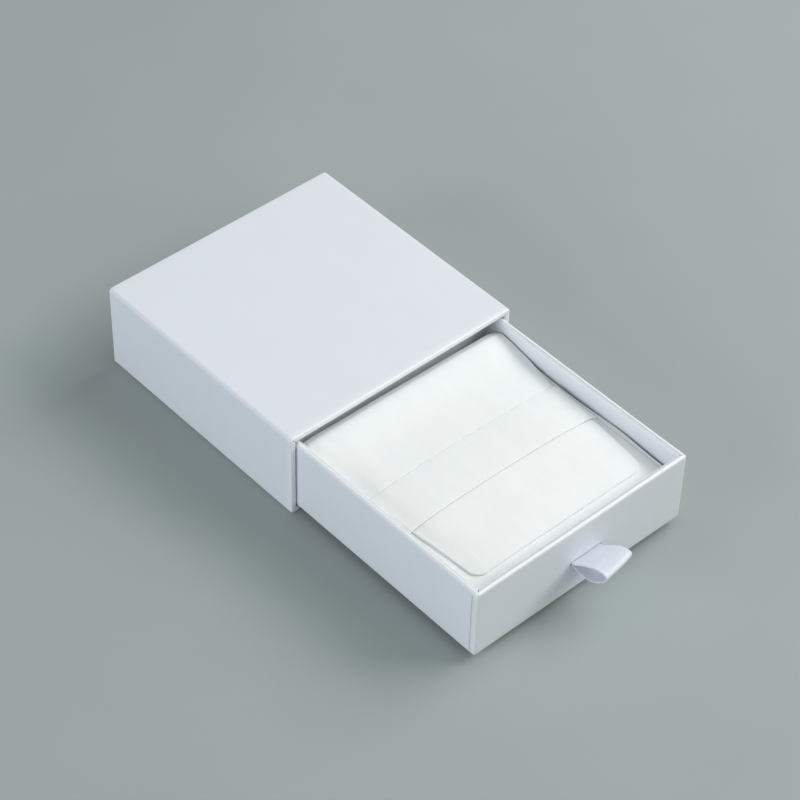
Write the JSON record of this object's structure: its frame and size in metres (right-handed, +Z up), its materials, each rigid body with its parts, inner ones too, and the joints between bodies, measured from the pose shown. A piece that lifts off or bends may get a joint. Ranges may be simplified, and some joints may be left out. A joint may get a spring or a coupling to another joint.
{
  "type": "jewelry gift box",
  "caption": "Low square white paper gift box: a tray with a ribbon pull slides out of a sleeve, holding a soft envelope pouch with its flap tucked under a band.",
  "frame": {"origin": "centre of the sleeve's underside, in the plane that the box stands on", "axes": "+Z up; the tray slides out towards -Y; +X is to the right for someone who looks at the closed back, from the mouth"},
  "size_m": [0.09, 0.1824, 0.032],
  "materials": {
    "greyboard": "matte",
    "white_wrap": "satin",
    "white_lining": "matte",
    "kraft_tape": "matte",
    "insert_card": "matte",
    "satin_ribbon": "satin",
    "foam": "matte",
    "flock_cover": "matte",
    "microfibre": "matte",
    "sewing_thread": "satin"
  },
  "bodies": {
    "sleeve": {"sleeve_board": "greyboard", "sleeve_back_board": "greyboard", "sleeve_seam_tape": "kraft_tape", "sleeve_liner": "white_lining", "sleeve_wrap": "white_wrap", "sleeve_base_sheet": "white_wrap", "sleeve_back_sheet": "white_wrap"},
    "drawer": {"tray_board": "greyboard", "tray_liner": "white_lining", "tray_wrap": "white_wrap", "tray_corner_tape_front_left": "kraft_tape", "tray_corner_tape_front_right": "kraft_tape", "tray_corner_tape_back_left": "kraft_tape", "tray_corner_tape_back_right": "kraft_tape", "ribbon_tails": "satin_ribbon", "ribbon_tape": "kraft_tape", "insert_riser": "insert_card", "foam_pad": "foam", "pad_cover": "flock_cover"},
    "ribbon_pull": {"ribbon_loop": "satin_ribbon"},
    "pouch": {"pouch_body": "microfibre", "pouch_band": "microfibre", "pouch_stitch_left": "sewing_thread", "pouch_stitch_right": "sewing_thread"}
  },
  "joints": [
    {"name": "drawer_slide", "type": "slide", "parent": "sleeve", "child": "drawer", "axis": [0, -1, 0], "range_m": [-0.079, 0.006]},
    {"name": "ribbon_flex", "type": "hinge", "parent": "drawer", "child": "ribbon_pull", "pos_m": [0.0015, -0.124, 0.01485], "axis": [-1, 0, 0], "range_deg": [-70, 45], "stiffness_Nm_per_rad": 0.0002},
    {"name": "pouch_lift", "type": "slide", "parent": "drawer", "child": "pouch", "axis": [0, 0, 1], "range_m": [0, 0.0035]}
  ]
}
